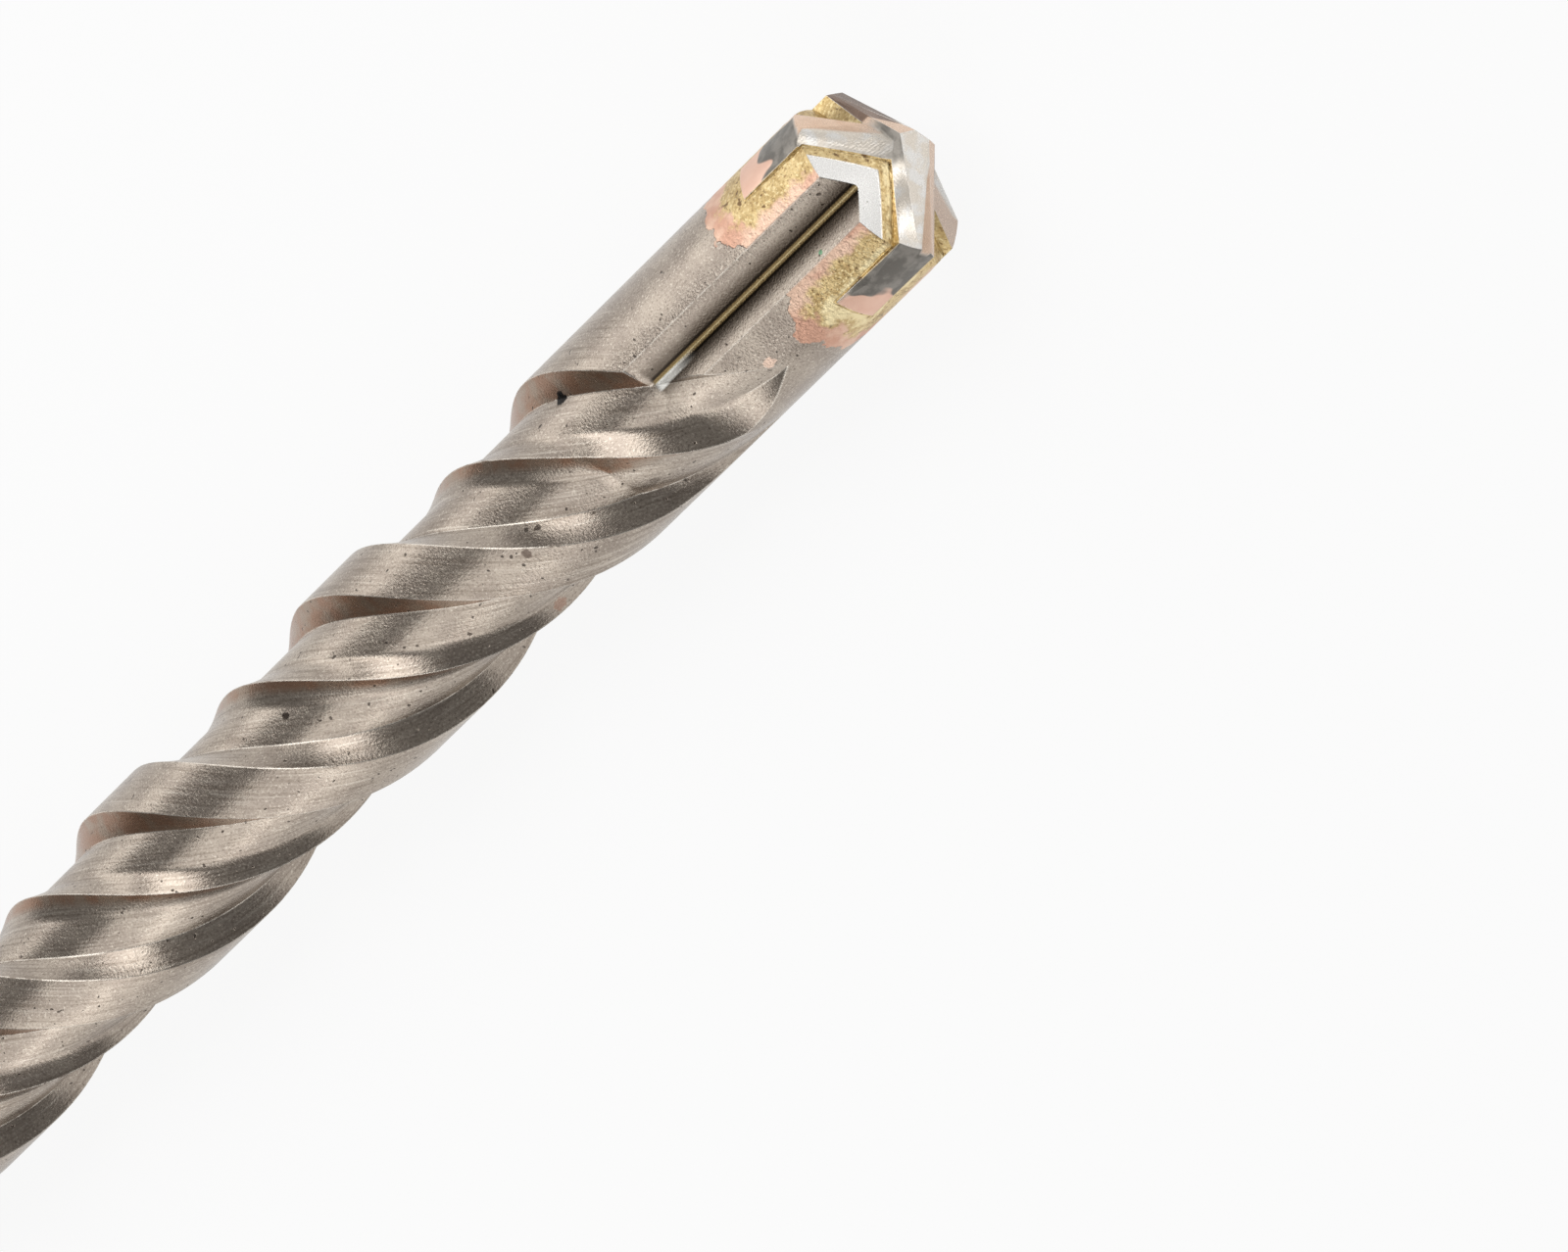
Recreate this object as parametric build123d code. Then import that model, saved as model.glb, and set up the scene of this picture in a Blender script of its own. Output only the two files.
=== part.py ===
from build123d import *
from math import cos, radians, sin, sqrt, tan
import os

# The bit lies along X with the middle of its shank end at the origin and its tip pointing to +X.
# Angles are in degrees round the bar, from +Y towards +Z. Those of the helix are read at the tip.

# Bar
overall_length = 160.0
cutting_diameter = 12.0
land_clearance = 0.25

# Shank
shank_diameter = 10.0
shank_length = 46.0
shank_chamfer = 1.0
guide_length = 14.0
guide_lead_in = 1.0
slotted_part_clearance = 0.06
drive_slot_width = 2.4
drive_slot_depth = 1.8
drive_slot_length = 31.0
drive_slot_cutter = 24.0
lock_ball_diameter = 7.0
lock_groove_depth = 1.25
lock_groove_start = 10.5
lock_groove_end = 29.5

# Neck between shank and flutes
neck_diameter = 8.6
neck_length = 6.0
shoulder_slope = 30.0

# Helix: two wide lands with a narrow rib between them
flute_pitch = 41.3
floor_diameter = 8.87
rib_diameter = 10.4
rib_angle = 145.8
rib_back_wall = 20.2
side_flute_floor = 35.6
land_width = 42.0
land_back_wall = 13.4
main_flute_floor = 37.6
rib_front_wall = 16.7

# Where the flutes run out, measured back from the tip
main_flute_full = 20.6
main_flute_end = 13.9
side_flute_full = 27.0
side_flute_end = 16.5

# Head
point_slope = 28.8
steel_setback = 0.73
narrow_quarter_setback = 0.8
dust_groove_start = 21.1
dust_groove_bottom = 8.7
dust_groove_width = 33.6
dust_groove_root = 0.25

# Cutter: four arms in an X, with the main edges on one pair and the second edges set back on the other
arm_angle = 33.7
arm_thickness = 3.04
arm_length = 8.85
braze_gap = 0.12
main_edge_offset = 0.5
main_relief_slope = 12.5
main_rake_slope = 28.0
second_edge_offset = 0.74
second_relief_slope = 16.0
second_rake_slope = 44.0
second_edge_setback = 0.42
back_taper = 0.06

land_radius = (cutting_diameter - land_clearance) / 2
floor_radius = floor_diameter / 2
rib_radius = rib_diameter / 2
cutting_radius = cutting_diameter / 2
outside_radius = 1.7 * land_radius
flute_start = shank_length + neck_length
run_out_steps = 6
run_out_lift = 0.02
wall_lift = 0.4


def section_plane(x):
    return Plane(origin=(x, 0, 0), x_dir=(0, 1, 0), z_dir=(1, 0, 0))


def spot(radius, angle):
    return Vector(radius * cos(radians(angle)), radius * sin(radians(angle)))


def both_sides(shape):
    """The shape and its copy turned half round about the bar's axis."""
    return [shape, Rot(180, 0, 0) * shape]


def ray_end(start, through, reach):
    """The point on the line from start through a second point that lies at the radius reach."""
    way = (through - start).normalized()
    along = start.dot(way)
    return start + way * (sqrt(along**2 + reach**2 - start.dot(start)) - along)


def steel_bar():
    """Shank, neck, fluted length and pointed front as one turned bar, before anything is cut in it."""
    shank_radius, neck_radius = shank_diameter / 2, neck_diameter / 2
    slotted_radius = shank_radius - slotted_part_clearance / 2
    guide_x = shank_length - guide_length
    shoulder = (land_radius - neck_radius) / tan(radians(shoulder_slope))
    neck_step = (shank_radius - neck_radius) / tan(radians(shoulder_slope))
    nose_x = overall_length - steel_setback
    profile = [
        (0, 0),
        (0, slotted_radius - shank_chamfer),
        (shank_chamfer, slotted_radius),
        (guide_x - guide_lead_in, slotted_radius),
        (guide_x, shank_radius),
        (shank_length, shank_radius),
        (shank_length + neck_step, neck_radius),
        (flute_start, neck_radius),
        (flute_start + shoulder, land_radius),
        (nose_x - land_radius * tan(radians(point_slope)), land_radius),
        (nose_x, 0),
    ]
    outline = make_face(Plane.XY * Polyline(profile, close=True))
    return revolve(outline, Axis.X)


def drive_slots():
    """The two slots that are open at the shank's end, with the round run-out of their milling cutter."""
    floor = shank_diameter / 2 - drive_slot_depth
    cutter = drive_slot_cutter / 2
    run_out = sqrt(cutter**2 - (cutter - drive_slot_depth) ** 2)
    disc_x = drive_slot_length - run_out
    low = (Align.MIN, Align.CENTER, Align.MIN)
    channel = Pos(-1, 0, floor) * Box(disc_x + 1, drive_slot_width, shank_diameter, align=low)
    disc = Plane.XZ * Cylinder(cutter, drive_slot_width)
    slot = channel + Pos(disc_x, 0, floor + cutter) * disc
    return both_sides(slot)


def lock_grooves():
    """The two closed grooves that the chuck's balls run in."""
    ball = lock_ball_diameter / 2
    first, last = lock_groove_start + ball, lock_groove_end - ball
    out = shank_diameter / 2 - lock_groove_depth + ball
    channel = Plane.YZ * Cylinder(ball, last - first, align=(Align.CENTER, Align.CENTER, Align.MIN))
    groove = Pos(first, 0, 0) * channel + Pos(first, 0, 0) * Sphere(ball) + Pos(last, 0, 0) * Sphere(ball)
    return both_sides(Pos(0, out, 0) * groove)


def flute_outline(x, floor, feet, edges, edge_radii):
    """Outline of a flute at x: two straight walls, a round floor and a round roof outside the bar."""
    turn = 360 * (x - overall_length) / flute_pitch
    foot_1, foot_2 = (spot(floor, angle + turn) for angle in feet)
    edge_1, edge_2 = (spot(radius, angle + turn) for radius, angle in zip(edge_radii, edges))
    rim_1 = ray_end(foot_1, edge_1, outside_radius)
    rim_2 = ray_end(foot_2, edge_2, outside_radius)
    floor_middle = spot(floor, sum(feet) / 2 + turn)
    roof_middle = (rim_1 + rim_2).normalized() * outside_radius
    path = [
        Line(rim_1, foot_1),
        ThreePointArc(foot_1, floor_middle, foot_2),
        Line(foot_2, rim_2),
        ThreePointArc(rim_2, roof_middle, rim_1),
    ]
    return section_plane(x) * Wire(path)


def flute(feet, edges, edge_radii, full, end, rise):
    """A helical flute: a twisted prism, then a run-out that rises and closes in on the flute's first wall.

    rise gives the share of the depth that is lost at a share of the run-out's length.
    """
    x_full, x_end = overall_length - full, overall_length - end
    length = x_full - flute_start
    outline = flute_outline(flute_start, floor_radius, feet, edges, edge_radii)
    prism = Solid.extrude_linear_with_rotation(
        outline, center=(flute_start, 0, 0), normal=(length, 0, 0), angle=360 * length / flute_pitch
    )
    stages = []
    for step in range(run_out_steps + 1):
        share = step / run_out_steps
        floor = floor_radius + (land_radius + run_out_lift - floor_radius) * rise(share)
        closing = 0.95 * share
        stage_feet = [angle + (edges[0] - angle) * closing for angle in feet]
        stage_edges = [edges[0], edges[1] + (edges[0] - edges[1]) * closing]
        stage_radii = [radius + (land_radius + wall_lift - radius) * share for radius in edge_radii]
        x = x_full + (x_end - x_full) * share
        stages.append(flute_outline(x, floor, stage_feet, stage_edges, stage_radii))
    run_out = Solid.make_loft(stages)
    return [prism, run_out]


land_front = rib_angle - rib_front_wall - main_flute_floor - land_back_wall - land_width
land_back = land_front + land_width


def main_flute():
    """The flute that takes the dust from the groove in the head."""
    foot = land_back + land_back_wall
    feet, edges = (foot, foot + main_flute_floor), (land_back, rib_angle)
    radii = (land_radius, rib_radius)
    return flute(feet, edges, radii, main_flute_full, main_flute_end, lambda share: share**1.5)


def side_flute():
    """The flute behind the rib, which ends sooner."""
    foot = rib_angle - 180 + rib_back_wall
    feet, edges = (foot, foot + side_flute_floor), (rib_angle - 180, land_front)
    radii = (rib_radius, land_radius)
    return flute(feet, edges, radii, side_flute_full, side_flute_end, lambda share: 1 - (1 - share) ** 2)


def dust_grooves():
    """The V-grooves in the broad quarters of the head, each with a rounded root."""
    half = dust_groove_width / 2
    root = Vector(0, dust_groove_bottom / 2)
    left, right = spot(land_radius, 90 + half), spot(land_radius, 90 - half)
    tops = [ray_end(root, edge, outside_radius) for edge in (left, right)]
    outline = make_face(Polyline(root, tops[1], (0, outside_radius), tops[0], close=True))
    outline = fillet(outline.vertices().sort_by(Axis.Y)[0], dust_groove_root)
    x = overall_length - dust_groove_start
    return both_sides(extrude(section_plane(x) * outline, dust_groove_start))


def narrow_quarters():
    """What is ground off the steel in the two narrow quarters, in front of a second, lower cone."""
    nose_x = overall_length - steel_setback - narrow_quarter_setback
    rim_x = nose_x - outside_radius * tan(radians(point_slope))
    ahead = [(nose_x, 0), (rim_x, outside_radius), (overall_length + 1, outside_radius), (overall_length + 1, 0)]
    in_front = revolve(make_face(Plane.XY * Polyline(ahead, close=True)), Axis.X)
    sector = Polyline((0, 0), spot(2 * outside_radius, arm_angle), spot(2 * outside_radius, -arm_angle), close=True)
    length = overall_length + 1 - rim_x
    return both_sides(in_front & extrude(section_plane(rim_x) * make_face(sector), length))


def arm_slab(angle, thickness, x_bottom, length):
    low = (Align.MIN, Align.CENTER, Align.CENTER)
    return Rot(angle, 0, 0) * Pos(x_bottom, 0, 0) * Box(length, 2 * outside_radius, thickness, align=low)


def space_above(angle, edge_x, edge_offset, side, slope):
    """Everything in front of one ground face, which falls away from an arm's edge to one side of it."""
    outward = Vector(0, *spot(1, angle))
    ahead = Vector(0, *spot(1, angle + 90))
    normal = Vector(1, 0, 0) + outward * tan(radians(point_slope)) + ahead * (side * tan(radians(slope)))
    point = Vector(edge_x, 0, 0) + ahead * edge_offset
    block = 4 * cutting_diameter
    low = (Align.CENTER, Align.CENTER, Align.MIN)
    return Plane(origin=point, z_dir=normal) * Box(block, block, block, align=low)


def ground_arms(angle, offset, relief_slope, rake_slope, setback):
    """A pair of opposite arms with the edge, the relief and the rake ground on each."""
    x_bottom = overall_length - arm_length
    edge_x = overall_length + main_edge_offset * tan(radians(main_relief_slope)) - setback
    arms = arm_slab(angle, arm_thickness, x_bottom, arm_length + 1)
    for arm in (angle, angle + 180):
        arms -= space_above(arm, edge_x, offset, -1, relief_slope)
        arms -= space_above(arm, edge_x, offset, 1, rake_slope)
    return arms


def carbide_head():
    arms = ground_arms(180 - arm_angle, main_edge_offset, main_relief_slope, main_rake_slope, 0)
    arms += ground_arms(
        arm_angle, second_edge_offset, second_relief_slope, second_rake_slope, second_edge_setback
    )
    x_bottom = overall_length - arm_length
    low = (Align.CENTER, Align.CENTER, Align.MIN)
    envelope = Cone(cutting_radius - back_taper, cutting_radius, arm_length, align=low)
    return arms & section_plane(x_bottom) * envelope


def crossed_slots(gap):
    """The slots for the carbide's arms, wider and deeper than the carbide by the gap."""
    width = arm_thickness + 2 * gap
    x_bottom = overall_length - arm_length - gap
    first, second = (arm_slab(angle, width, x_bottom, arm_length + 1) for angle in (arm_angle, 180 - arm_angle))
    return first + second


def main():
    os.makedirs("parts", exist_ok=True)
    bar = steel_bar()
    slots = crossed_slots(braze_gap)
    body = bar
    for cutter in drive_slots() + lock_grooves():
        body -= cutter
    for piece in main_flute() + side_flute():
        for cutter in both_sides(piece):
            body -= cutter
    for cutter in dust_grooves() + narrow_quarters() + [slots]:
        body -= cutter
    braze = (slots - crossed_slots(0)) & bar
    for cutter in narrow_quarters():
        braze -= cutter
    export_step(body, "parts/steel_body.step")
    export_step(carbide_head(), "parts/carbide_head.step")
    export_step(braze, "parts/braze_joint.step")


main()
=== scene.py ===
from math import atan2, cos, pi, radians, sin, sqrt, tan

import bpy
from mathutils import Matrix, Vector


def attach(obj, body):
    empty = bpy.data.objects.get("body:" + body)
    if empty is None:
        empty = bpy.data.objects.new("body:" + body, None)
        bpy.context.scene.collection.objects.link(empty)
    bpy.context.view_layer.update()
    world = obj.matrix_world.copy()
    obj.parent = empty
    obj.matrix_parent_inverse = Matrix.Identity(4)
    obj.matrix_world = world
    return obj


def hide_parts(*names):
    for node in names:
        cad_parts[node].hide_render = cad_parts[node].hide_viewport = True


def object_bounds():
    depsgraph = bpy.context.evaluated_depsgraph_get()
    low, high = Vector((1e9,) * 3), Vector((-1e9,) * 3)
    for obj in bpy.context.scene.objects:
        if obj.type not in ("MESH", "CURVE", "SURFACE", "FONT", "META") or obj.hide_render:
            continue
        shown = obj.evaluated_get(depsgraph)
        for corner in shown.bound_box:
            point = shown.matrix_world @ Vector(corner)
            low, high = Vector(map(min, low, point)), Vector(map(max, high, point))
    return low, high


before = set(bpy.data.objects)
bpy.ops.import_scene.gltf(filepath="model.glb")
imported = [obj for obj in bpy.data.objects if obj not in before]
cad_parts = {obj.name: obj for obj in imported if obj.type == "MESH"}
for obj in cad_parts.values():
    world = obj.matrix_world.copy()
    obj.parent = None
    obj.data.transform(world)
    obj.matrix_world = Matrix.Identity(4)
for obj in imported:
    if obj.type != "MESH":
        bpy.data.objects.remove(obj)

cad_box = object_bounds()

# Sizes of the bit in millimetres. It lies along X with its tip at +X; the meshes are made in metres.
# Angles are in degrees round the bar, from +Y towards +Z. Those of the helix are read at the tip.
mm = 0.001
tip_x = 160.0
land_radius = 5.875
floor_radius = 4.435
rib_radius = 5.2
flute_pitch = 41.3
rib_angle = 145.8
main_floor = (rib_angle - 54.3, rib_angle - 16.7)
land_back = main_floor[0] - 13.4
land_front = land_back - 42.0
side_floor = (rib_angle - 159.8, rib_angle - 124.2)

# The flutes' run-out: how far back from the tip it starts and ends, how high above the land the floor and
# the walls' aims end, and the share of its width by which a flute closes, with the power that keeps it slow
# at first
main_flute_full, main_flute_end = 20.6, 13.9
side_flute_full, side_flute_end = 27.0, 16.5
run_out_lift, wall_lift = 0.02, 0.4
closed_share, closing_power = 0.95, 1.6

# The shank and the neck behind the flutes
shank_radius, slotted_radius, neck_radius = 5.0, 4.97, 4.3
shank_length, neck_length, guide_x, lead_in_x = 46.0, 6.0, 32.0, 31.0
flutes_x = shank_length + neck_length
shoulder_slope = radians(30)
end_chamfer = 1.0
drive_slot_width, drive_slot_depth, drive_slot_length, drive_slot_cutter = 2.4, 1.8, 31.0, 12.0
lock_ball, lock_groove_depth, lock_groove_start, lock_groove_end = 3.5, 1.25, 10.5, 29.5

# The head
point_slope = radians(28.8)
nose_x = 159.27
narrow_nose_x = 158.47
dust_groove_x, dust_groove_root, dust_groove_half = 138.9, 4.35, radians(16.8)
dust_groove_rounding = 0.19
arm_angle, slot_width, slot_bottom_x = 33.7, 3.28, 151.03

# The cutters of the head reach this far along X, clear of the tip.
cutters_end = 161.0


# Node building

def new_material(name):
    material = bpy.data.materials.new(name)
    material.use_nodes = True
    material.node_tree.nodes.clear()
    return material


def add(tree, kind, **settings):
    made = tree.nodes.new("ShaderNode" + kind)
    for key, value in settings.items():
        setattr(made, key, value)
    return made


def feed(tree, target, source):
    """Sets a socket to a number or colour, or links another socket to it."""
    if isinstance(source, bpy.types.NodeSocket):
        tree.links.new(source, target)
    else:
        target.default_value = source


def calc(tree, operation, *values):
    made = add(tree, "Math", operation=operation)
    for place, value in enumerate(values):
        feed(tree, made.inputs[place], value)
    return made.outputs[0]


def product(tree, *values):
    total = values[0]
    for value in values[1:]:
        total = calc(tree, "MULTIPLY", total, value)
    return total


def ramp(tree, value, low, high):
    """0 at low and 1 at high, smooth between; low may be the larger."""
    made = add(tree, "MapRange", interpolation_type="SMOOTHSTEP")
    feed(tree, made.inputs["Value"], value)
    made.inputs["From Min"].default_value = min(low, high)
    made.inputs["From Max"].default_value = max(low, high)
    made.inputs["To Min"].default_value = 0.0 if low < high else 1.0
    made.inputs["To Max"].default_value = 1.0 if low < high else 0.0
    return made.outputs[0]


def mix_colour(tree, share, first, second):
    made = add(tree, "Mix", data_type="RGBA")
    feed(tree, made.inputs[0], share)
    feed(tree, made.inputs[6], first)
    feed(tree, made.inputs[7], second)
    return made.outputs[2]


def coated(tree, tone, *coats):
    """A tone with coats laid over it in turn. Each coat is its share, from 0 to 1, and its colour."""
    for share, shade in coats:
        tone = mix_colour(tree, share, tone, shade)
    return tone


def noise(tree, place, size, detail=3.0):
    """Noise from 0 to 1 whose grains are about size millimetres."""
    made = add(tree, "TexNoise")
    feed(tree, made.inputs["Vector"], place)
    made.inputs["Scale"].default_value = 1 / size
    made.inputs["Detail"].default_value = detail
    made.inputs["Roughness"].default_value = 0.55
    return made.outputs["Fac"]


def colour(red, green, blue):
    """A colour as a picture shows it, from 0 to 255."""
    return tuple(((c / 255 + 0.055) / 1.055) ** 2.4 for c in (red, green, blue)) + (1.0,)


def place_in_mm(tree):
    """The place on the bit in millimetres, as a vector and as its x, y and z."""
    scaled = add(tree, "VectorMath", operation="SCALE")
    feed(tree, scaled.inputs[0], add(tree, "TexCoord").outputs["Object"])
    scaled.inputs["Scale"].default_value = 1 / mm
    parts = add(tree, "SeparateXYZ")
    tree.links.new(scaled.outputs[0], parts.inputs[0])
    return scaled.outputs[0], parts.outputs[0], parts.outputs[1], parts.outputs[2]


def facing(tree):
    """The x and y of the direction in which the surface faces."""
    parts = add(tree, "SeparateXYZ")
    tree.links.new(add(tree, "TexCoord").outputs["Normal"], parts.inputs[0])
    return parts.outputs[0], parts.outputs[1]


def helix_angle(tree, x, y, z):
    """The angle round the bar in degrees, from 0 to 180, unwound so that each flute keeps its own."""
    angle = calc(tree, "MULTIPLY", calc(tree, "ARCTAN2", z, y), 180 / pi)
    turn = calc(tree, "MULTIPLY", calc(tree, "SUBTRACT", x, tip_x), 360 / flute_pitch)
    return calc(tree, "FLOORED_MODULO", calc(tree, "SUBTRACT", angle, turn), 180.0)


def beside_arms(tree, y, z):
    """How far a place lies outside the nearer of the cutter's arms, measured across it, in millimetres."""
    distances = []
    for angle in (arm_angle, 180 - arm_angle):
        across = calc(tree, "MULTIPLY_ADD", z, cos(radians(angle)), product(tree, y, -sin(radians(angle))))
        distances.append(calc(tree, "ABSOLUTE", across))
    nearer = calc(tree, "MINIMUM", distances[0], distances[1])
    return calc(tree, "SUBTRACT", nearer, slot_width / 2)


def rounded_edges(tree, radius):
    """A normal that runs smoothly round every edge, and a mask that is 1 on the edges."""
    soft = add(tree, "Bevel", samples=4)
    soft.inputs["Radius"].default_value = radius * mm
    flat = add(tree, "NewGeometry").outputs["Normal"]
    turned = add(tree, "VectorMath", operation="DOT_PRODUCT")
    feed(tree, turned.inputs[0], soft.outputs[0])
    feed(tree, turned.inputs[1], flat)
    # The edge mask carries wear on the steel and a painted highlight on every edge, hollow ones too
    wear_and_glint_starts, wear_and_glint_is_full = 0.995, 0.94
    return soft.outputs[0], ramp(tree, turned.outputs["Value"], wear_and_glint_starts, wear_and_glint_is_full)


def bump(tree, height, distance, under=None):
    made = add(tree, "Bump")
    made.inputs["Strength"].default_value = 1.0
    made.inputs["Distance"].default_value = distance * mm
    feed(tree, made.inputs["Height"], height)
    if under is not None:
        feed(tree, made.inputs["Normal"], under)
    return made.outputs[0]


def finish_material(material, base, metallic, roughness, normal):
    tree = material.node_tree
    skin = add(tree, "BsdfPrincipled")
    feed(tree, skin.inputs["Base Color"], base)
    feed(tree, skin.inputs["Metallic"], metallic)
    feed(tree, skin.inputs["Roughness"], roughness)
    feed(tree, skin.inputs["Normal"], normal)
    out = add(tree, "OutputMaterial")
    tree.links.new(skin.outputs[0], out.inputs[0])
    return material


# Materials

def braze_colour(tree, place):
    """Brass-gold braze with yellow beads and dark spots."""
    clouds = noise(tree, place, 1.1, detail=3)
    beads = noise(tree, place, 0.18, detail=2)
    spots = noise(tree, place, 0.5, detail=2)
    return coated(
        tree,
        colour(196, 168, 114),
        (ramp(tree, clouds, 0.42, 0.6), colour(222, 196, 142)),
        (ramp(tree, beads, 0.52, 0.7), colour(242, 222, 172)),
        (ramp(tree, beads, 0.44, 0.28), colour(150, 118, 76)),
        (ramp(tree, spots, 0.62, 0.72), colour(124, 96, 60)),
    )


def flute_strokes(tree, x, y, z, radius):
    """Noise from 0 to 1, drawn out along the flutes."""
    stroke_place = add(tree, "CombineXYZ")
    feed(tree, stroke_place.inputs[0], calc(tree, "MULTIPLY", helix_angle(tree, x, y, z), 0.1))
    feed(tree, stroke_place.inputs[1], calc(tree, "MULTIPLY", x, 0.05))
    feed(tree, stroke_place.inputs[2], calc(tree, "MULTIPLY", radius, 0.6))
    return noise(tree, stroke_place.outputs[0], 0.2, detail=3)


# A notch painted near black as the shade in it, nicks, a rusty spot, a green speck and a splash of copper,
# each with its place in millimetres, its size, its strength and its colour
steel_marks = (
    ((133.52, 3.37, 2.89), 0.45, 1.0, colour(26, 22, 20)),
    ((127.69, -1.20, 4.62), 0.22, 0.8, colour(60, 52, 46)),
    ((127.10, -0.82, 4.73), 0.16, 0.8, colour(60, 52, 46)),
    ((126.53, -1.90, 5.55), 0.30, 0.7, colour(78, 62, 54)),
    ((134.53, -3.79, 2.99), 0.32, 0.5, colour(96, 82, 72)),
    ((123.26, -4.78, 0.15), 0.50, 0.5, colour(160, 118, 98)),
    ((106.87, 1.34, 4.22), 0.24, 0.9, colour(60, 50, 44)),
    ((152.89, -1.34, 5.36), 0.16, 0.8, colour(90, 150, 112)),
    ((145.58, -3.71, 4.55), 0.40, 0.8, colour(230, 200, 180)),
)


def marked(tree, tone, place):
    """A tone with the marks laid over it, each with a ragged outline."""
    for centre, size, strength, shade in steel_marks:
        apart = add(tree, "VectorMath", operation="DISTANCE")
        feed(tree, apart.inputs[0], place)
        feed(tree, apart.inputs[1], centre)
        ragged = calc(tree, "MULTIPLY_ADD", noise(tree, place, 0.3, detail=1), -size, apart.outputs["Value"])
        share = ramp(tree, ragged, 0.6 * size, 0.3 * size)
        tone = mix_colour(tree, calc(tree, "MULTIPLY", share, strength), tone, shade)
    return tone


def groove_shade_and_highlight(tree, tone, y, z, back, radius, forward):
    """Painted shade down the dust grooves, dark bands of painted shade beside their root with an olive band
    and a golden line of braze and painted highlight in it, and a painted highlight where they start.

    Gives the tone and a mask that is 1 on that painted highlight at the start.
    """
    across = calc(tree, "ABSOLUTE", y)
    in_groove = product(
        tree, ramp(tree, across, 1.62, 1.5), ramp(tree, back, 20.9, 20.5), ramp(tree, forward, 0.6, 0.4)
    )
    # Painted shade that grows darker down the groove towards its root
    painted_groove_shade = product(tree, in_groove, ramp(tree, across, 1.5, 0.4), ramp(tree, radius, 5.75, 5.4), 0.85)
    one_bank = ramp(tree, product(tree, y, z), 0.0, -0.1)
    # A painted highlight where each groove starts, on one bank
    start = product(tree, in_groove, ramp(tree, back, 17.2, 19.5), one_bank, ramp(tree, across, 0.6, 0.45))
    tone = coated(
        tree,
        tone,
        (painted_groove_shade, colour(72, 62, 52)),
        # Painted shade beside the root, an olive band in it, a golden line of braze and painted highlight
        # along it, and the painted highlight at the start
        (product(tree, in_groove, ramp(tree, across, 0.42, 0.3)), colour(44, 36, 28)),
        (product(tree, in_groove, ramp(tree, across, 0.22, 0.16)), colour(120, 101, 68)),
        (product(tree, in_groove, ramp(tree, across, 0.06, 0.02)), colour(196, 178, 136)),
        (start, colour(236, 234, 228)),
    )
    return tone, start


def brazed_head(tree, tone, place, y, z, back, forward, clouds):
    """Braze that ran over the steel round the arms, and the ground faces between the arms, painted nearly
    white as bright ground steel with a painted highlight.

    Gives the tone and two masks, which are 1 on the braze and on the ground faces.
    """
    across = calc(tree, "ABSOLUTE", y)
    point_face = ramp(tree, forward, 0.6, 0.8)
    beside = beside_arms(tree, y, z)
    broad = calc(tree, "MULTIPLY_ADD", across, -tan(radians(arm_angle)), calc(tree, "ABSOLUTE", z))
    # The ground faces are painted nearly white: bright ground steel with a painted highlight
    ground = product(tree, point_face, ramp(tree, beside, 0.6, 0.75), ramp(tree, broad, 0.0, 0.1))

    # The braze reaches 12 mm back beside the arms, less farther from them, and its edge is ragged.
    outside = calc(tree, "MAXIMUM", beside, 0.0)
    reach = calc(tree, "SUBTRACT", calc(tree, "SUBTRACT", 12.0, back), product(tree, outside, outside, 0.35))
    ragged = calc(tree, "MULTIPLY_ADD", noise(tree, place, 1.3, detail=3), 3.2, -1.6)
    reach = calc(tree, "ADD", reach, ragged)
    on_skin = calc(tree, "MAXIMUM", ramp(tree, across, 1.62, 1.8), point_face)
    wetted = product(tree, ramp(tree, reach, 0.0, 0.15), on_skin, calc(tree, "SUBTRACT", 1.0, ground))

    # It is golden near the arms and on the point, and copper-pink towards its edge.
    clot = noise(tree, place, 0.9, detail=2)
    golden = product(
        tree,
        ramp(tree, calc(tree, "MULTIPLY_ADD", clot, 1.6, reach), 2.0, 2.7),
        ramp(tree, calc(tree, "MULTIPLY_ADD", clot, 1.4, beside), 2.4, 1.9),
    )
    golden = calc(tree, "MAXIMUM", golden, point_face)
    copper = mix_colour(tree, ramp(tree, clouds, 0.4, 0.6), colour(214, 166, 142), colour(236, 200, 176))
    bead = product(
        tree,
        ramp(tree, beside, 0.5, 0.25),
        ramp(tree, reach, 1.6, 2.4),
        ramp(tree, y, 0.4, -0.4),
        ramp(tree, clot, 0.35, 0.55),
    )
    braze = coated(tree, copper, (golden, braze_colour(tree, place)), (bead, colour(250, 232, 184)))
    tone = coated(tree, tone, (product(tree, wetted, 0.92), braze), (ground, colour(252, 250, 246)))
    return tone, wetted, ground


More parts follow.
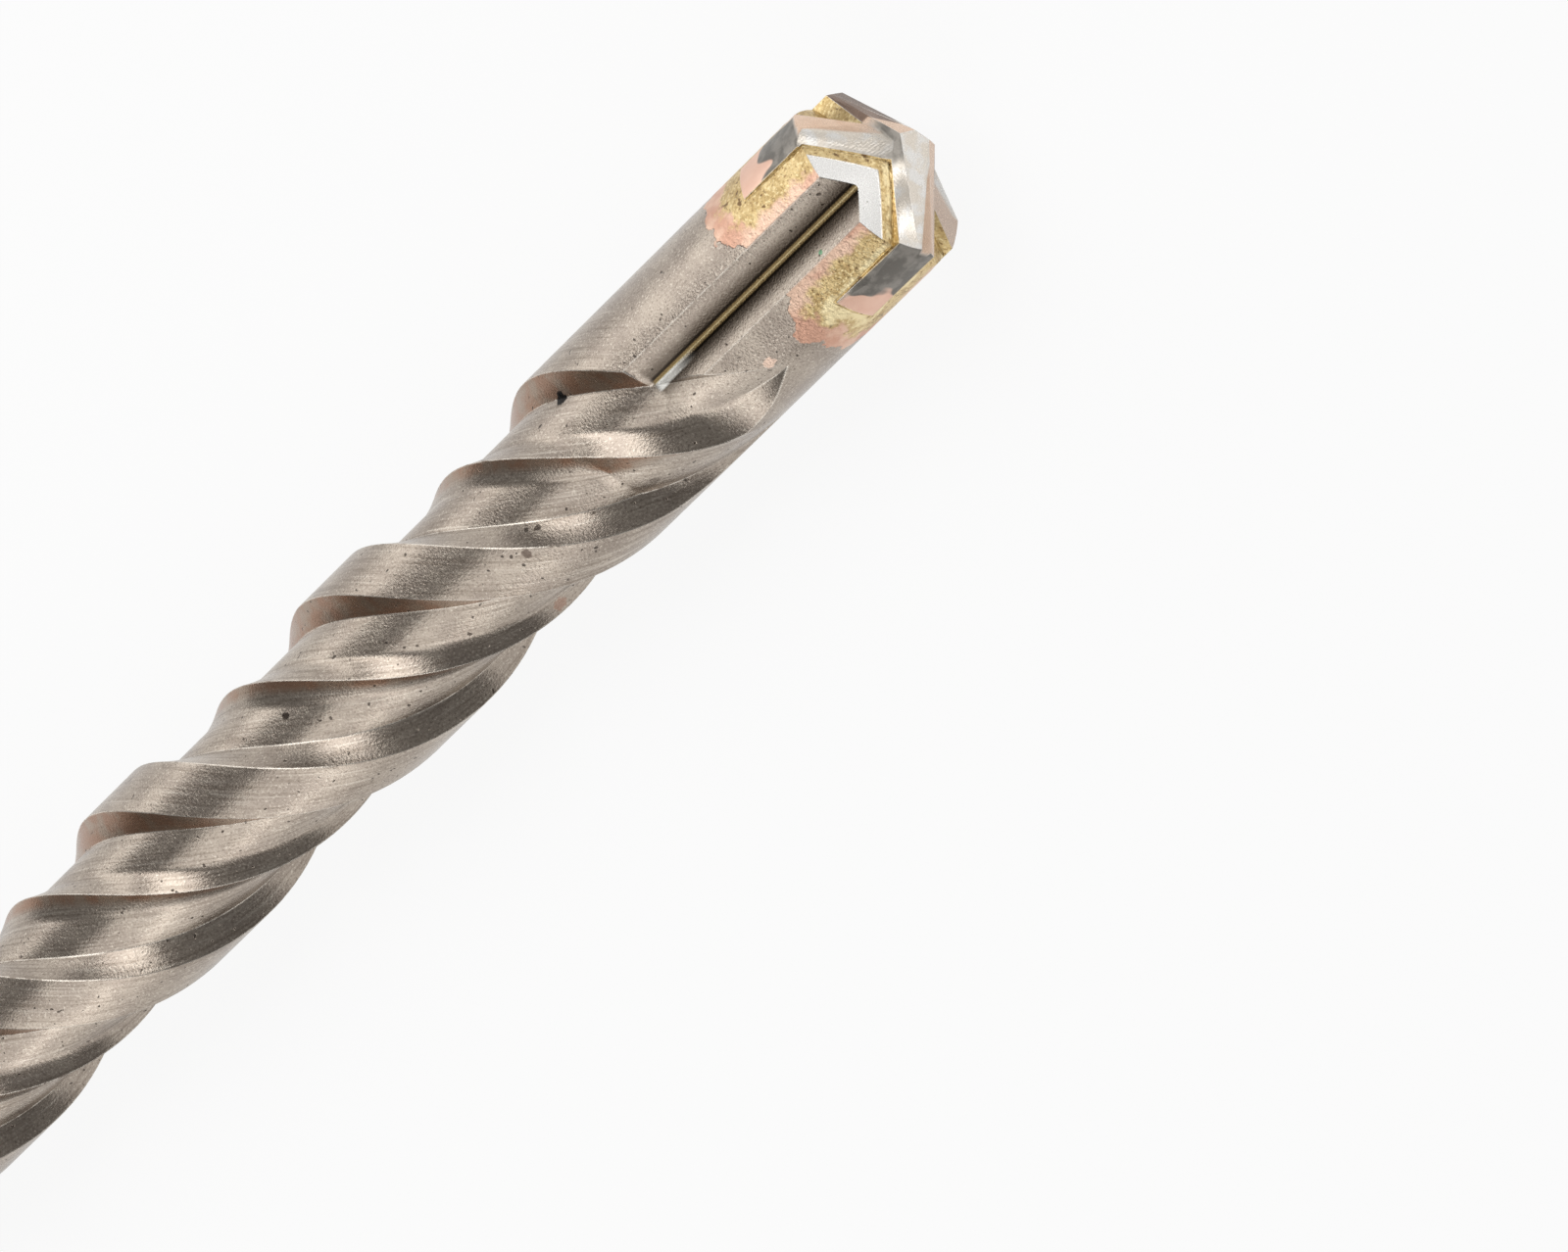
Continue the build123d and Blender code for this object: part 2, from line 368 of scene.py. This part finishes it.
def blasted_steel():
    """Shot-blasted steel: fine grain, dark pits, walls facing the shank browned with painted shade, edges
    lightened by wear and painted highlight, painted shade and highlight in the grooves, ground faces painted
    nearly white, and braze that ran over the head.
    """
    material = new_material("blasted_steel")
    tree = material.node_tree
    place, x, y, z = place_in_mm(tree)
    radius = calc(tree, "SQRT", calc(tree, "ADD", product(tree, y, y), product(tree, z, z)))
    back = calc(tree, "SUBTRACT", tip_x, x)
    forward = facing(tree)[0]
    edge_normal, edges = rounded_edges(tree, 0.13)
    grain = noise(tree, place, 0.14, detail=2)
    clouds = noise(tree, place, 2.4, detail=4)
    pits = ramp(tree, noise(tree, place, 0.42, detail=1), 0.72, 0.78)
    strokes = flute_strokes(tree, x, y, z, radius)
    fluted = product(tree, ramp(tree, x, 55.0, 57.0), ramp(tree, back, 18.0, 21.0))

    # Walls that face the shank are painted browner and darker, a painted shade, with rusty stains on them.
    behind = product(
        tree, ramp(tree, forward, -0.25, -0.36), ramp(tree, x, 56.0, 60.0), ramp(tree, back, 18.0, 22.0)
    )
    stain = ramp(tree, noise(tree, place, 1.6, detail=3), 0.38, 0.62)
    # Edges are lightened by wear and by a painted highlight, in hollow corners as on ridges.
    worn_and_glinting_edges = product(tree, edges, ramp(tree, noise(tree, place, 0.8, detail=2), 0.3, 0.5))

    tone = coated(
        tree,
        colour(160, 148, 137),
        (ramp(tree, clouds, 0.35, 0.65), colour(178, 166, 153)),
        (ramp(tree, grain, 0.48, 0.26), colour(138, 126, 115)),
        (ramp(tree, grain, 0.56, 0.72), colour(204, 194, 180)),
        (product(tree, ramp(tree, strokes, 0.5, 0.32), fluted, 0.5), colour(124, 111, 99)),
        (product(tree, ramp(tree, strokes, 0.58, 0.74), fluted, 0.5), colour(216, 207, 194)),
        (product(tree, behind, 0.7), colour(160, 136, 116)),
        (product(tree, behind, stain, 0.5), colour(158, 110, 82)),
        (product(tree, pits, 0.8), colour(62, 52, 46)),
        # wear and painted highlight on the edges
        (product(tree, worn_and_glinting_edges, 0.9), colour(244, 236, 224)),
    )
    tone = marked(tree, tone, place)
    tone, start = groove_shade_and_highlight(tree, tone, y, z, back, radius, forward)
    tone, wetted, ground = brazed_head(tree, tone, place, y, z, back, forward, clouds)

    rough = calc(tree, "MULTIPLY_ADD", wetted, 0.14, calc(tree, "MULTIPLY_ADD", grain, 0.12, 0.21))
    swell = product(tree, wetted, noise(tree, place, 0.24, detail=3), 0.05)
    grain_height = calc(tree, "MULTIPLY_ADD", ground, -0.015, 0.016)
    relief = calc(tree, "MULTIPLY_ADD", pits, -0.03, product(tree, grain, grain_height))
    normal = bump(tree, calc(tree, "ADD", relief, swell), 1.0, under=edge_normal)
    # The ground faces and the painted highlight at the grooves' start are less metallic, so that their
    # near-white paint shows
    metal = calc(tree, "MULTIPLY_ADD", calc(tree, "MAXIMUM", ground, start), -0.6, 0.92)
    return finish_material(material, tone, metal, rough, normal)


def ground_carbide():
    """Cemented carbide: grinding lines on facets painted nearly white with a painted highlight, painted shade
    on one arm, painted highlights on the edges, and dull grey sides that braze turned pink behind.
    """
    material = new_material("ground_carbide")
    tree = material.node_tree
    place, x, y, z = place_in_mm(tree)
    back = calc(tree, "SUBTRACT", tip_x, x)
    forward, sideways = facing(tree)
    edge_normal, edges = rounded_edges(tree, 0.06)
    front = ramp(tree, forward, 0.25, 0.45)
    grain = noise(tree, place, 0.12, detail=2)
    clouds = noise(tree, place, 1.0, detail=3)
    lines = add(tree, "TexWave", wave_type="BANDS", bands_direction="DIAGONAL")
    feed(tree, lines.inputs["Vector"], place)
    lines.inputs["Scale"].default_value = 3.2
    lines.inputs["Distortion"].default_value = 1.5
    lines.inputs["Detail"].default_value = 2.0

    # Sides: grey, with a pink rear end and braze along the seam
    pink = ramp(tree, calc(tree, "MULTIPLY_ADD", noise(tree, place, 1.8, detail=1), 6.0, back), 10.0, 10.4)
    seam = product(tree, ramp(tree, beside_arms(tree, y, z), -0.2, -0.13), ramp(tree, forward, 0.2, 0.1))
    side = coated(
        tree,
        colour(112, 108, 102),
        (ramp(tree, clouds, 0.4, 0.6), colour(140, 135, 128)),
        (pink, mix_colour(tree, clouds, colour(222, 176, 154), colour(240, 206, 186))),
        (seam, braze_colour(tree, place)),
    )

    # Facets: painted nearly white, their pale ground tone with a painted highlight, browner on those that
    # lean sideways, and with painted shade on one arm
    leaning = product(tree, ramp(tree, calc(tree, "ABSOLUTE", sideways), 0.55, 0.58), front)
    shaded_arm = product(tree, ramp(tree, z, -0.05, -0.15), ramp(tree, y, -0.1, 0.1))
    leaning_tone = mix_colour(tree, clouds, colour(214, 178, 150), colour(242, 214, 190))
    dark = mix_colour(tree, clouds, colour(96, 74, 62), colour(150, 124, 106))
    facet = coated(
        tree,
        colour(244, 234, 220),
        (ramp(tree, clouds, 0.42, 0.62), colour(252, 249, 244)),
        (leaning, mix_colour(tree, shaded_arm, leaning_tone, dark)),
    )

    # The edges get a painted highlight
    tone = coated(tree, side, (front, facet), (product(tree, edges, 0.7), colour(250, 246, 240)))
    rough = calc(tree, "MULTIPLY_ADD", front, -0.1, calc(tree, "MULTIPLY_ADD", grain, 0.12, 0.3))
    relief = calc(tree, "MULTIPLY_ADD", lines.outputs["Fac"], 0.002, product(tree, grain, 0.01))
    # The facets are less metallic, so that their near-white paint shows
    metal = calc(tree, "MULTIPLY_ADD", front, -0.55, 0.9)
    return finish_material(material, tone, metal, rough, bump(tree, relief, 1.0, under=edge_normal))


def brazing_alloy():
    material = new_material("brazing_alloy")
    tree = material.node_tree
    place = place_in_mm(tree)[0]
    swell = noise(tree, place, 0.3, detail=2)
    rough = calc(tree, "MULTIPLY_ADD", swell, 0.2, 0.28)
    return finish_material(material, braze_colour(tree, place), 1.0, rough, bump(tree, swell, 0.05))


# The turned and fluted bar

def bar_profile():
    """Places and radii of the turned bar, from the shank's end to the nose."""
    neck_step = (shank_radius - neck_radius) / tan(shoulder_slope)
    shoulder = (land_radius - neck_radius) / tan(shoulder_slope)
    return [
        (0.0, slotted_radius - end_chamfer),
        (end_chamfer, slotted_radius),
        (lead_in_x, slotted_radius),
        (guide_x, shank_radius),
        (shank_length, shank_radius),
        (shank_length + neck_step, neck_radius),
        (flutes_x, neck_radius),
        (flutes_x + shoulder, land_radius),
        (nose_x - land_radius * tan(point_slope), land_radius),
        (nose_x, 0.0),
    ]


def bar_radius(profile, x):
    for (x_1, radius_1), (x_2, radius_2) in zip(profile, profile[1:]):
        if x <= x_2:
            return radius_1 + (radius_2 - radius_1) * (x - x_1) / (x_2 - x_1)
    return 0.0


def spot(radius, angle):
    return Vector((radius * cos(radians(angle)), radius * sin(radians(angle))))


def ray_end(start, through, reach):
    """The point on the line from start through a second point that lies at the radius reach."""
    way = (through - start).normalized()
    along = start.dot(way)
    return start + way * (sqrt(max(along**2 + reach**2 - start.dot(start), 0)) - along)


def crossing(first, second, third, fourth):
    """Where the line through the first two points meets the line through the other two."""
    one, two = second - first, fourth - third
    share = ((third - first).x * two.y - (third - first).y * two.x) / (one.x * two.y - one.y * two.x)
    return first + one * share


def run_out_share(back, full, end):
    """0 where a flute is still full, and 1 where it has ended."""
    return min(max((full - back) / (full - end), 0), 1)


def flute_corners(share, rise, feet, edges, edge_radii):
    """The feet of a flute's two walls at a share of its run-out, and the points that the walls aim at."""
    floor = floor_radius + (land_radius + run_out_lift - floor_radius) * rise(share)
    closing = closed_share * share**closing_power
    lifted = [radius + (land_radius + wall_lift - radius) * share for radius in edge_radii]
    feet = [spot(floor, angle + (edges[0] - angle) * closing) for angle in feet]
    return feet, [spot(lifted[0], edges[0]), spot(lifted[1], edges[1] + (edges[0] - edges[1]) * closing)]


def wall_top(foot, edge):
    if foot.length >= land_radius:
        return foot.normalized() * land_radius
    return ray_end(foot, edge, land_radius)


def degrees_near(point, near):
    angle = atan2(point.y, point.x) * 180 / pi
    return near + (angle - near + 180) % 360 - 180


# How many steps each stretch of the section takes: land, wall, main floor, wall, rib, wall, side floor, wall
stretch_steps = (22, 4, 12, 4, 14, 5, 12, 4)


def half_section(back):
    """Half of the fluted section, unturned, at a distance back from the tip. The other half is its copy."""
    feet, tops = flute_corners(
        run_out_share(back, main_flute_full, main_flute_end),
        lambda share: share**1.5,
        main_floor,
        (land_back, rib_angle),
        (land_radius, rib_radius),
    )
    side_feet, side_tops = flute_corners(
        run_out_share(back, side_flute_full, side_flute_end),
        lambda share: 1 - (1 - share) ** 2,
        side_floor,
        (rib_angle - 180, land_front),
        (rib_radius, land_radius),
    )
    side_feet, side_tops = [-foot for foot in side_feet], [-top for top in side_tops]
    land_end = wall_top(feet[0], tops[0])
    rib_start, rib_end = wall_top(feet[1], tops[1]), wall_top(side_feet[0], side_tops[0])
    both_open = feet[1].length < land_radius and side_feet[0].length < land_radius
    if both_open and degrees_near(rib_start, rib_angle) > degrees_near(rib_end, rib_angle):
        rib_start = rib_end = crossing(feet[1], tops[1], side_feet[0], side_tops[0])
    next_land = wall_top(side_feet[1], side_tops[1])
    corners = [
        -next_land, land_end, feet[0], feet[1], rib_start, rib_end, side_feet[0], side_feet[1], next_land
    ]
    points = []
    for number, steps in enumerate(stretch_steps):
        first, second = corners[number], corners[number + 1]
        is_wall = number % 2 == 1
        start = atan2(first.y, first.x)
        sweep = (atan2(second.y, second.x) - start) % (2 * pi)
        if sweep > 1.5 * pi:
            sweep -= 2 * pi
        for step in range(steps):
            share = step / steps
            if is_wall:
                points.append(first + (second - first) * share)
            else:
                radius = first.length + (second.length - first.length) * share
                points.append(Vector((cos(start + sweep * share), sin(start + sweep * share))) * radius)
    return points


def bar_ring(profile, x):
    """The points of the bar's outline at x, as many at every x, so that rows of faces follow the helix."""
    back = tip_x - x
    half = half_section(back)
    points = half + [-point for point in half]
    turn = 2 * pi * (max(x, flutes_x) - tip_x) / flute_pitch
    radius = bar_radius(profile, x)
    plain = x <= flutes_x or back < main_flute_end

    # In front of the flutes, the points spread evenly round the bar over this length.
    evening_length = 8
    evening = min(max((main_flute_end - back) / evening_length, 0), 1)
    first = atan2(points[0].y, points[0].x)
    ring = []
    for number, point in enumerate(points):
        even = first + 2 * pi * number / len(points)
        off = (atan2(point.y, point.x) - even + pi) % (2 * pi) - pi
        angle = even + off * (1 - evening) + turn
        reach = radius if plain else min(point.length, radius)
        ring.append((x * mm, reach * cos(angle) * mm, reach * sin(angle) * mm))
    return ring


# Rings along the shank, then stretches of rings with their steps, and the number of rings on the point
shank_rings = [8.0, 16.0, 24.0, 36.0, 41.0]
ring_stretches = ((46, 54.8, 0.45), (54.8, 133, 0.5), (133, 146.5, 0.2), (147.4, 156, 1.0))
point_rings = 6
least_ring_gap = 0.03


def ring_places(profile):
    """Where the rings lie: close together where the section changes, and at every corner of the profile."""
    places = [x for x, radius in profile] + shank_rings
    for first, last, step in ring_stretches:
        places += [first + step * number for number in range(int((last - first) / step))]
    rim_x = profile[-2][0]
    places += [rim_x + (nose_x - rim_x) * number / point_rings for number in range(1, point_rings)]
    kept = [0.0]
    for x in sorted(places):
        if x - kept[-1] > least_ring_gap:
            kept.append(x)
    return kept


def deselect():
    bpy.ops.object.select_all(action="DESELECT")


def clean_mesh(piece, merge):
    """Joins points nearer than merge, closes open rims with a face and turns all faces outwards."""
    bpy.context.view_layer.objects.active = piece
    bpy.ops.object.mode_set(mode="EDIT")
    bpy.ops.mesh.select_all(action="SELECT")
    bpy.ops.mesh.remove_doubles(threshold=merge * mm)
    bpy.ops.mesh.select_all(action="DESELECT")
    bpy.ops.mesh.select_non_manifold()
    bpy.ops.mesh.edge_face_add()
    bpy.ops.mesh.select_all(action="SELECT")
    bpy.ops.mesh.normals_make_consistent(inside=False)
    bpy.ops.object.mode_set(mode="OBJECT")


def twisted_bar():
    """A grid wrapped round the axis, with one row of it on each ring of the bar."""
    profile = bar_profile()
    rings = [bar_ring(profile, x) for x in ring_places(profile)]
    around = len(rings[0])
    deselect()
    bpy.ops.mesh.primitive_grid_add(x_subdivisions=around, y_subdivisions=len(rings) - 1, size=2)
    bar = bpy.context.object
    bar.name = "fluted_body"
    for row, ring in enumerate(rings):
        for column in range(around + 1):
            bar.data.vertices[row * (around + 1) + column].co = ring[column % around]
    clean_mesh(bar, 0.003)
    return bar


# Cutters

def select_points(shape, chosen):
    """Selects the vertices whose place, in millimetres, fits the test, and leaves edit mode on."""
    bpy.ops.object.mode_set(mode="EDIT")
    bpy.ops.mesh.select_mode(type="VERT")
    bpy.ops.mesh.select_all(action="DESELECT")
    bpy.ops.object.mode_set(mode="OBJECT")
    for vertex in shape.data.vertices:
        vertex.select = chosen(vertex.co / mm)
    bpy.ops.object.mode_set(mode="EDIT")


def apply_place(shape):
    bpy.ops.object.transform_apply(location=True, rotation=True, scale=True)
    return shape


def box_at(place, size, turn=0.0):
    deselect()
    bpy.ops.mesh.primitive_cube_add(
        size=1, location=[c * mm for c in place], rotation=(radians(turn), 0, 0), scale=[s * mm for s in size]
    )
    return apply_place(bpy.context.object)


def arm_slot_cutter(turn):
    length, across = cutters_end - slot_bottom_x, 24
    return box_at((slot_bottom_x + length / 2, 0, 0), (length, across, slot_width), turn)


def groove_cutter():
    """A box whose lower face is drawn together to the groove's root, which is then rounded."""
    length, height = cutters_end - dust_groove_x, 6.0
    sine, cosine = land_radius * sin(dust_groove_half), land_radius * cos(dust_groove_half)
    half_width = height * sine / (cosine - dust_groove_root)
    cutter = box_at(
        (dust_groove_x + length / 2, 0, dust_groove_root + height / 2), (length, 2 * half_width, height)
    )
    select_points(cutter, lambda point: point.z < dust_groove_root + 0.1)
    bpy.ops.transform.resize(value=(1, 0, 1), center_override=(0, 0, 0))
    bpy.ops.mesh.remove_doubles(threshold=0.001 * mm)
    bpy.ops.mesh.select_mode(type="EDGE")
    bpy.ops.mesh.bevel(offset=dust_groove_rounding * mm, segments=5)
    bpy.ops.object.mode_set(mode="OBJECT")
    return cutter


def quarter_cutter():
    """What lies in front of the lower cone of a narrow quarter, spun through the quarter's angle."""
    reach = 10.0
    rim_x = narrow_nose_x - reach * tan(point_slope)
    deselect()
    bpy.ops.mesh.primitive_plane_add(size=2)
    cutter = bpy.context.object
    corners = [(narrow_nose_x, 0), (cutters_end, 0), (rim_x, reach), (cutters_end, reach)]
    for vertex, (x, radius) in zip(cutter.data.vertices, corners):
        angle = radians(-arm_angle)
        vertex.co = (x * mm, radius * cos(angle) * mm, radius * sin(angle) * mm)
    bpy.ops.object.mode_set(mode="EDIT")
    bpy.ops.mesh.select_all(action="SELECT")
    bpy.ops.mesh.spin(steps=12, angle=radians(-2 * arm_angle), center=(0, 0, 0), axis=(1, 0, 0))
    bpy.ops.object.mode_set(mode="OBJECT")
    clean_mesh(cutter, 0.0001)
    return cutter


def drive_slot_cutters():
    """The straight channel of a drive slot and the disc that leaves its round run-out."""
    floor = shank_radius - drive_slot_depth
    run_out = sqrt(drive_slot_cutter**2 - (drive_slot_cutter - drive_slot_depth) ** 2)
    disc_x = drive_slot_length - run_out
    behind, height = 1, 6
    channel = box_at(
        ((disc_x - behind) / 2, 0, floor + height / 2), (disc_x + behind, drive_slot_width, height)
    )
    deselect()
    bpy.ops.mesh.primitive_cylinder_add(
        vertices=128,
        radius=drive_slot_cutter * mm,
        depth=drive_slot_width * mm,
        location=(disc_x * mm, 0, (floor + drive_slot_cutter) * mm),
        rotation=(radians(90), 0, 0),
    )
    return [channel, apply_place(bpy.context.object)]


def lock_groove_cutter():
    """A ball drawn out along the shank."""
    middle = (lock_groove_start + lock_groove_end) / 2
    half_run = (lock_groove_end - lock_groove_start) / 2 - lock_ball
    out = shank_radius - lock_groove_depth + lock_ball
    deselect()
    bpy.ops.mesh.primitive_uv_sphere_add(
        segments=48,
        ring_count=25,
        radius=lock_ball * mm,
        location=(middle * mm, out * mm, 0),
        rotation=(0, radians(90), 0),
    )
    cutter = apply_place(bpy.context.object)
    for side in (-1, 1):
        select_points(cutter, lambda point: side * (point.x - middle) > 0)
        bpy.ops.transform.translate(value=(side * half_run * mm, 0, 0))
        bpy.ops.object.mode_set(mode="OBJECT")
    return cutter


def half_round_copy(shape):
    deselect()
    shape.select_set(True)
    bpy.context.view_layer.objects.active = shape
    bpy.ops.object.duplicate()
    bpy.context.object.rotation_euler = (pi, 0, 0)
    return apply_place(bpy.context.object)


def cut(piece, cutters):
    for cutter in cutters:
        deselect()
        piece.select_set(True)
        bpy.context.view_layer.objects.active = piece
        saw = piece.modifiers.new("saw", "BOOLEAN")
        saw.operation = "DIFFERENCE"
        saw.solver = "EXACT"
        saw.object = cutter
        bpy.ops.object.modifier_apply(modifier="saw")
        bpy.data.objects.remove(cutter)


# Pieces

def dress(piece, node, material):
    """Gives a piece its material and the place of the node that it stands for."""
    piece.data.materials.clear()
    piece.data.materials.append(material)
    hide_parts(node)
    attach(piece, "root")


def fluted_body():
    body = twisted_bar()
    cut(body, [arm_slot_cutter(turn) for turn in (arm_angle, 180 - arm_angle)])
    for shape in [groove_cutter(), quarter_cutter(), lock_groove_cutter()] + drive_slot_cutters():
        cut(body, [half_round_copy(shape), shape])
    clean_mesh(body, 0.001)
    deselect()
    body.select_set(True)
    bpy.ops.object.shade_smooth_by_angle(angle=radians(28))
    dress(body, "steel_body", blasted_steel())


def joined_copy(node, name, material):
    """A copy of a CAD node whose triangles are joined, so that its round faces can be smooth."""
    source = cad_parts[node]
    deselect()
    source.select_set(True)
    bpy.context.view_layer.objects.active = source
    bpy.ops.object.duplicate()
    piece = bpy.context.object
    piece.name = name
    bpy.ops.object.mode_set(mode="EDIT")
    bpy.ops.mesh.select_all(action="SELECT")
    bpy.ops.mesh.remove_doubles(threshold=0.001 * mm)
    bpy.ops.object.mode_set(mode="OBJECT")
    bpy.ops.object.shade_smooth_by_angle(angle=radians(20))
    dress(piece, node, material)


# Camera, floor and light

def camera():
    """The photo's camera: 26 degrees in front of the bit's side, rolled so that the bit runs up to the right.

    Gives its axes before the roll, with right along the bit.
    """
    lean, roll, drop, twist = radians(26), radians(44.5), radians(1.7228), radians(6.45)
    distance, left_of_tip, under_tip = 476, 24.967, 14.317
    photo_width, dots_per_mm = 1600, 18.104
    near = Vector((0, -sin(twist), cos(twist)))
    towards = (sin(lean) * Vector((1, 0, 0)) + cos(lean) * near).normalized()
    right = cos(lean) * Vector((1, 0, 0)) - sin(lean) * near
    side = towards.cross(right)
    back = cos(drop) * towards + sin(drop) * side
    up = cos(drop) * side - sin(drop) * towards
    place = Vector((tip_x, 0, 0)) - left_of_tip * right - under_tip * up + distance * back
    rolled_right = cos(roll) * right - sin(roll) * up
    rolled_up = sin(roll) * right + cos(roll) * up
    bpy.ops.object.camera_add()
    seen = bpy.context.object
    seen.name = "camera"
    axes = Matrix((rolled_right, rolled_up, back)).transposed()
    seen.matrix_world = Matrix.Translation(place * mm) @ axes.to_4x4()
    seen.data.sensor_width = 36
    seen.data.lens = seen.data.sensor_width * distance / (photo_width / dots_per_mm)
    seen.data.clip_start = 0.01
    bpy.context.scene.camera = seen
    return right, up, back


def white_floor(height):
    """A pale floor that the camera, and metal that mirrors it, see as nearly white, with the bit's shadow."""
    deselect()
    bpy.ops.mesh.primitive_plane_add(size=6, location=(0.08, 0, height))
    ground = bpy.context.object
    ground.name = "floor"
    material = new_material("floor_white")
    tree = material.node_tree
    skin = add(tree, "BsdfDiffuse")
    skin.inputs["Color"].default_value = (0.86, 0.86, 0.86, 1)
    glow = add(tree, "Emission")
    glow.inputs["Strength"].default_value = 1.0
    path = add(tree, "LightPath")
    seen = calc(tree, "MAXIMUM", path.outputs["Is Camera Ray"], path.outputs["Is Glossy Ray"])
    seen = calc(tree, "MAXIMUM", seen, path.outputs["Is Transmission Ray"])
    both = add(tree, "MixShader")
    glow_share = 0.9
    feed(tree, both.inputs[0], calc(tree, "MULTIPLY", seen, glow_share))
    tree.links.new(skin.outputs[0], both.inputs[1])
    tree.links.new(glow.outputs[0], both.inputs[2])
    out = add(tree, "OutputMaterial")
    tree.links.new(both.outputs[0], out.inputs[0])
    ground.data.materials.append(material)


def soft_light(name, along, below, power, length, width):
    """A soft box half a metre from the bit, at angles from the camera's side: along the bit and below it."""
    middle, distance = Vector((0.12, 0, 0)), 0.5
    along, below = radians(along), radians(below)
    right, up, back = view_axes
    way = sin(along) * right - cos(along) * sin(below) * up + cos(along) * cos(below) * back
    across = (right - way * right.dot(way)).normalized()
    bpy.ops.object.light_add(type="AREA")
    lamp = bpy.context.object
    lamp.name = name
    lamp.data.shape = "RECTANGLE"
    lamp.data.size = length
    lamp.data.size_y = width
    lamp.data.energy = power
    axes = Matrix((across, way.cross(across), way)).transposed()
    lamp.matrix_world = Matrix.Translation(middle + distance * way) @ axes.to_4x4()


def world_light(strength):
    world = bpy.data.worlds.new("studio")
    bpy.context.scene.world = world
    world.use_nodes = True
    backdrop = world.node_tree.nodes["Background"]
    backdrop.inputs["Color"].default_value = (1, 1, 1, 1)
    backdrop.inputs["Strength"].default_value = strength


fluted_body()
joined_copy("carbide_head", "ground_head", ground_carbide())
joined_copy("braze_joint", "braze_seam", brazing_alloy())

view_axes = camera()
white_floor(cad_box[0][2])
soft_light("light_above", along=-13, below=-42, power=1.35, length=0.46, width=0.36)
soft_light("light_above_edge", along=-16, below=-88, power=0.6, length=0.42, width=0.3)
soft_light("light_front", along=68, below=8, power=1.1, length=0.34, width=0.34)
soft_light("light_below", along=-56, below=38, power=0.6, length=0.3, width=0.5)
soft_light("light_below_edge", along=-42, below=88, power=0.35, length=0.3, width=0.3)
world_light(0.2)

bpy.context.scene.view_settings.view_transform = "Standard"
